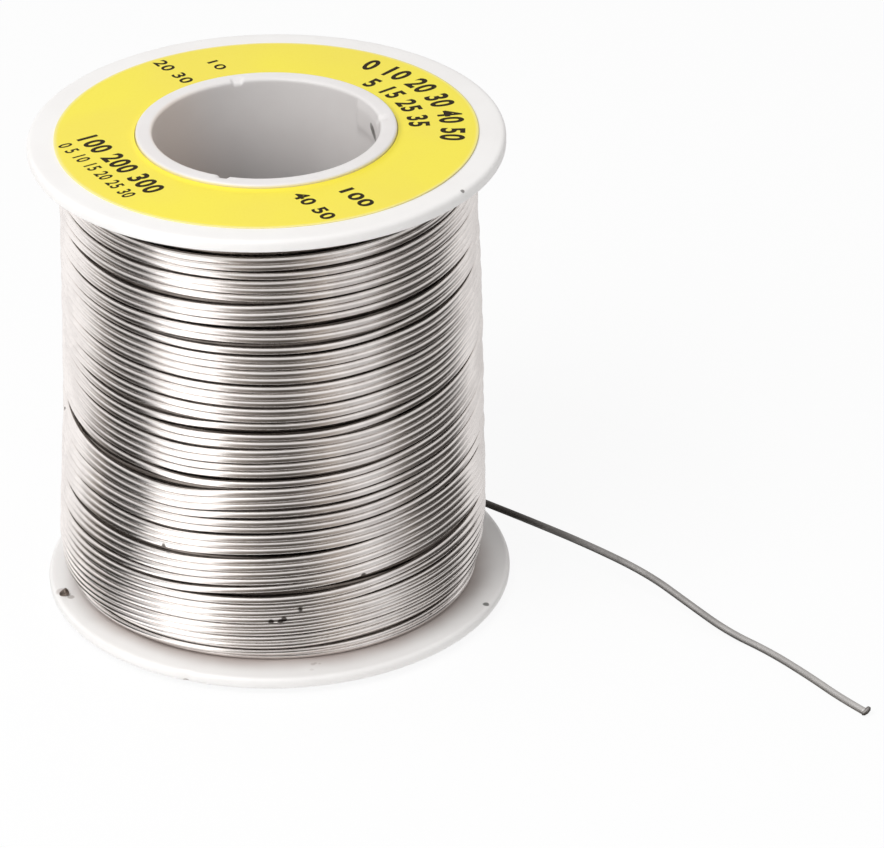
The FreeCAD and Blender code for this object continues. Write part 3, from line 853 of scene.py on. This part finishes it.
def make_flange(name, node, low, upper):
    """A moulded disc with a rounded rim, a turned piece. The upper disc's rim is sharper underneath. A rim
    draws in at three places, by 0.06 mm times sin(3 t + z) to the power 8 where that sine is above 0. The
    lower disc's also has a nick, a bell of exp(-x^2) over the angle."""
    high = low + FLANGE_THICK
    soft, sharp = 0.75, 0.3
    corners = [(COLLAR_R, low, 0.1), (FLANGE_R, low, sharp if upper else soft),
               (FLANGE_R, high, soft), (COLLAR_R, high, 0.1)]
    profile = filled_in(rounded(corners, 7), 1.2)

    def shape(radius, height, angle):
        rim = rise(radius, 30.5, 32.0)
        radius = radius - 0.06 * rim * np.clip(np.sin(angle * 3 + low), 0, 1) ** 8
        if not upper:
            bell = np.exp(-((np.degrees(angle) - NICK_THETA) / NICK_WIDE) ** 2)
            radius = radius - NICK_DEEP * bell * rise(radius, 31.3, 31.8)
        return radius, height, angle

    disc = turned_piece(name, profile, 288, shape, slot="white_plastic", material=PLASTIC)
    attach(disc, "root")
    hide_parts(node)


def make_barrel():
    """The barrel's tube, a turned piece. Its upper lip has three small notches: within 0.6 mm of a notch's
    middle the lip's top falls by 0.4 mm, and from there the fall fades out to 0.8 mm. Beside the right one,
    a small pad stands 0.25 mm out of the bore's wall, with sloping edges."""
    corners = [(BORE_R, 0, 0.4), (COLLAR_R, 0, 0.35), (COLLAR_R, LOW_SEAT, 0.05),
               (SHOULDER_R, LOW_SEAT, 0.05), (SHOULDER_R, HIGH_SEAT, 0.05), (COLLAR_R, HIGH_SEAT, 0.05),
               (COLLAR_R, OVERALL, 0.45), (BORE_R, OVERALL, 0.55)]
    profile = rounded(corners, 7)
    # The wall under the wire, which nothing shows, has long faces.
    profile = filled_in(profile, np.where(profile[:, 0] > SHOULDER_R - 0.1, 8, 0.6))

    def shape(radius, height, angle):
        lip = rise(height, OVERALL - 1.2, OVERALL - 0.6) * (1 - rise(radius, BORE_R + 0.6, BORE_R + 0.9))
        for middle in NOTCH_THETAS:
            away = np.abs((angle - math.radians(middle) + np.pi) % (2 * np.pi) - np.pi) * BORE_R
            height = height - NOTCH_DEEP * lip * (1 - rise(away, NOTCH_WIDE - 0.2, NOTCH_WIDE))
        away = np.abs(angle - math.radians(PAD_THETA)) * BORE_R
        pad = 1 - rise(away, PAD_WIDE - 0.6, PAD_WIDE)
        pad = pad * rise(height, PAD_LOW, PAD_LOW + 1.2) * (1 - rise(height, PAD_HIGH - 0.3, PAD_HIGH))
        radius = radius - PAD_THICK * pad * (radius < BORE_R + 0.1)
        return radius, height, angle

    barrel = turned_piece("spool_barrel", profile, 480, shape, slot="white_plastic",
                          material=SHADED_BARREL_PLASTIC)
    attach(barrel, "root")
    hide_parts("barrel")


def make_label():
    """The paper ring, a turned piece with the thickness of its paper. Its inner edge rides up the barrel's
    end: inside a radius of 18.3 mm the height rises by 0.3 ((18.3 - r) / 0.7)^2."""
    low = LABEL_LOW + 0.005
    corners = [(LABEL_IN_R, low, 0.02), (LABEL_OUT_R, low, 0.02), (LABEL_OUT_R, LABEL_TOP, 0.06),
               (LABEL_IN_R, LABEL_TOP, 0.04)]

    def shape(radius, height, angle):
        ride = 1 - rise(radius, RIDE_R - RIDE_WIDE, RIDE_R)
        return radius, height + RIDE_HEIGHT * ride ** 2, angle

    ring = turned_piece("label_ring", filled_in(rounded(corners, 4), 0.25), 288, shape,
                        slot="label_paper", material=PAPER)
    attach(ring, "root")
    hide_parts("label")


make_flange("flange_lower", "lower_flange", COLLAR_HEIGHT, False)
make_flange("flange_upper", "upper_flange", HIGH_SEAT, True)
make_barrel()
make_label()


# Rows of plain figures on the label: the figures, their place, the row's length and height, and how much
# the strokes are thickened. The place is the theta of the row's middle and the radius of the circle that
# it follows, or else x, y and the turn in degrees of a straight row.
PRINT_ROWS = (
    ("0 10 20 30 40 50", (23.3, 24.9), 28.6, 3.4, 0.035),
    ("5 15 25 35", (24.0, 20.5), 16.4, 2.9, 0.035),
    ("100 200 300", (-19.3, -8.4, -61), 19.4, 3.1, 0.035),
    ("0 5 10 15 20 25 30", (-22.5, -10.0, -61), 18.6, 2.0, 0.024),
    ("20 30", (-12.4, 19.9, -59), 8.2, 1.9, 0.025),
    ("10", (-6.4, 21.6, -59), 3.0, 1.6, 0.02),
    ("40 50", (5.9, -22.5, -61), 8.6, 2.1, 0.035),
    ("100", (11.6, -20.4, -58), 5.8, 2.2, 0.035),
)
INK_THICK = 0.008


def figures(text, length, height, bold):
    """Plain figures as a thin solid: their outline from Blender's own type, stretched to a length and a
    height."""
    curve = bpy.data.curves.new("figures", "FONT")
    curve.body = text
    curve.extrude = 0.05
    curve.offset = bold
    curve.space_character = 1.15
    points, faces = read_back(curve)
    low, high = points.min(0), points.max(0)
    return (points - (low + high) / 2) / (high - low) * (length, height, INK_THICK), faces


def make_print():
    """The label's print: rows of plain figures that lie flat on the paper. Along a circle, a point x along
    the row and y over its middle line goes to the theta t - x / R and the radius R + y. A straight row is
    turned and moved to its place."""
    all_points, all_faces, count = [], [], 0
    for text, place, length, height, bold in PRINT_ROWS:
        points, faces = figures(text, length, height, bold)
        x, y, z = points.T
        if len(place) == 2:
            theta, radius = math.radians(place[0]) - x / place[1], place[1] + y
            flat = [radius * np.cos(theta), radius * np.sin(theta)]
        else:
            turn = math.radians(place[2])
            flat = [place[0] + x * math.cos(turn) - y * math.sin(turn),
                    place[1] + x * math.sin(turn) + y * math.cos(turn)]
        all_points.append(np.stack([*flat, z + LABEL_TOP + INK_THICK], axis=1))
        all_faces += [[corner + count for corner in face] for face in faces]
        count += len(points)
    mesh = bpy.data.meshes.new("label_print")
    mesh.from_pydata((np.concatenate(all_points) * MM).tolist(), [], all_faces)
    mesh.validate()
    mesh.materials.append(INK)
    piece = bpy.data.objects.new("label_print", mesh)
    bpy.context.scene.collection.objects.link(piece)
    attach(piece, "root")


make_print()


# ---- the studio ----

TABLE_HALF = 3000
TABLE_WHITE = 0.90  # how much of the table is plain white to the camera, and so has no shadow
WORLD_LIGHT = 0.52

# What the wire mirrors round the spool: azimuth in degrees, and brightness low down and higher up.
SURROUND = (
    (-180, 1.00, 1.00),
    (-150, 1.10, 1.08),
    (-114, 1.14, 1.12),
    (-99, 0.30, 0.85),
    (-90, 0.04, 0.70),
    (-67, 0.03, 0.62),
    (-57, 1.75, 1.50),
    (-37, 1.75, 1.45),
    (-31, 1.75, 1.05),
    (-23, 0.40, 0.84),
    (-10, 0.16, 0.70),
    (2, 0.08, 0.66),
    (12, 0.11, 0.74),
    (26, 0.46, 0.92),
    (40, 0.68, 1.05),
    (52, 0.62, 1.00),
    (64, 0.18, 0.82),
    (73, 0.05, 0.74),
    (103, 0.05, 0.74),
    (116, 0.94, 0.97),
    (128, 0.78, 0.83),
    (150, 0.78, 0.85),
)
SURROUND_WHITE = 1.8  # the brightness there that a ramp has as white
SURROUND_STRENGTH = 1.62
# Cards brighter than half have the first tint, and darker ones the second.
BRIGHT_TINT, DARK_TINT = (1, 0.97, 0.96), (1, 0.88, 0.78)
# The dome's profile, from beside the spool's foot out over the table, up, and over the top.
DOME_RADII = (34, 60, 100, 160, 220, 250, 262, 266, 266, 264, 250, 200, 120, 5)
DOME_HEIGHTS = (0.15, 0.15, 0.15, 2, 10, 26, 48, 72, 110, 160, 220, 300, 360, 385)

# The lamp: azimuth, elevation, distance from the middle of the spool, side and power.
LAMP_AZIMUTH, LAMP_ELEVATION, LAMP_AWAY, LAMP_SIDE, LAMP_POWER = -42, 52, 700, 420, 2.95
LAMP_AIM = (0, 0, 35.0)


def make_table():
    """A white table. The rays that see take it partly as plain white, so that it keeps a soft shadow."""
    material = bpy.data.materials.new("table_finish")
    start = bare_nodes(material)
    seen = rays_that_see(start) * TABLE_WHITE
    paint = start.node("ShaderNodeBsdfDiffuse", Color=(0.98, 0.98, 0.98, 1))
    plain = start.node("ShaderNodeEmission", Color=(1, 1, 1, 1), Strength=1.0)
    show(start.node("ShaderNodeMixShader", _0=seen, _1=paint, _2=plain), "ShaderNodeOutputMaterial")
    half = TABLE_HALF
    points = [(-half, -half, 0), (half, -half, 0), (half, half, 0), (-half, half, 0)]
    put_mesh("table", points, [(0, 1, 2, 3)], material=material)


def surround_stops(which):
    """The surround's brightness as the stops of a ramp that goes once round, from behind by the left."""
    stops = []
    for row in SURROUND:
        tint = BRIGHT_TINT if row[which] > 0.5 else DARK_TINT
        stops.append(((row[0] + 180) / 360, [row[which] / SURROUND_WHITE * part for part in tint]))
    return stops


def make_surround():
    """Dark and bright cards that stand round the spool, as one dome seen only in reflections: it lies on
    the table, curves up at its outer edge and closes over the top. Its brightness is a ramp over the
    azimuth, arctan(x / -y), with a second ramp taking over with height. Low down the azimuth is stretched
    by a twentieth."""
    material = bpy.data.materials.new("surround_finish")
    start = bare_nodes(material)
    place = start.node("ShaderNodeTexCoord", output="Object")
    azimuth = start.maths("ARCTAN2", place.part(0), 0 - place.part(1))
    stretch = 1.05 - place.part(2).ramp_mm(30, 110) * 0.05
    turn = azimuth * stretch * (0.5 / math.pi) + 0.5
    ramps = [start.node("ShaderNodeValToRGB", {"stops": surround_stops(which)}, Fac=turn)
             for which in (1, 2)]
    colour = place.part(2).ramp_mm(55, 170).blend(*ramps)
    show(start.node("ShaderNodeEmission", Color=colour, Strength=SURROUND_STRENGTH),
         "ShaderNodeOutputMaterial")
    angles = np.linspace(-180, 180, 97)[:-1]
    a, r = np.meshgrid(angles, DOME_RADII, indexing="ij")
    _, z = np.meshgrid(angles, DOME_HEIGHTS, indexing="ij")
    ring = put_mesh("surround_ring", on_spool(a, r, z), grid_quads(*a.shape, True, False),
                    material=material)
    ring.visible_camera = ring.visible_diffuse = ring.visible_shadow = False
    ring.visible_transmission = ring.visible_volume_scatter = False


def make_lamp():
    """A square soft lamp, up on the left, that looks at the middle of the spool."""
    data = bpy.data.lights.new("lamp_left", "AREA")
    data.shape = "RECTANGLE"
    data.size = data.size_y = LAMP_SIDE * MM
    data.energy = LAMP_POWER
    lamp = bpy.data.objects.new("lamp_left", data)
    a, e = math.radians(LAMP_AZIMUTH), math.radians(LAMP_ELEVATION)
    back = np.array([math.sin(a) * math.cos(e), -math.cos(a) * math.cos(e), math.sin(e)])
    lamp.location = (np.array(LAMP_AIM) + back * LAMP_AWAY) * MM
    lamp.rotation_mode = "QUATERNION"
    lamp.rotation_quaternion = Vector(-back).to_track_quat("-Z", "Y")
    bpy.context.scene.collection.objects.link(lamp)


def make_world():
    """A white surround for the rays that see, and a softer light from all sides for the rest."""
    world = bpy.data.worlds.new("surround")
    bpy.context.scene.world = world
    start = bare_nodes(world)
    strength = WORLD_LIGHT + rays_that_see(start) * (1 - WORLD_LIGHT)
    show(start.node("ShaderNodeBackground", Color=(1, 1, 1, 1), Strength=strength),
         "ShaderNodeOutputWorld")


make_table()
make_world()
make_surround()
make_lamp()

scene = bpy.context.scene
scene.view_settings.view_transform = "Standard"
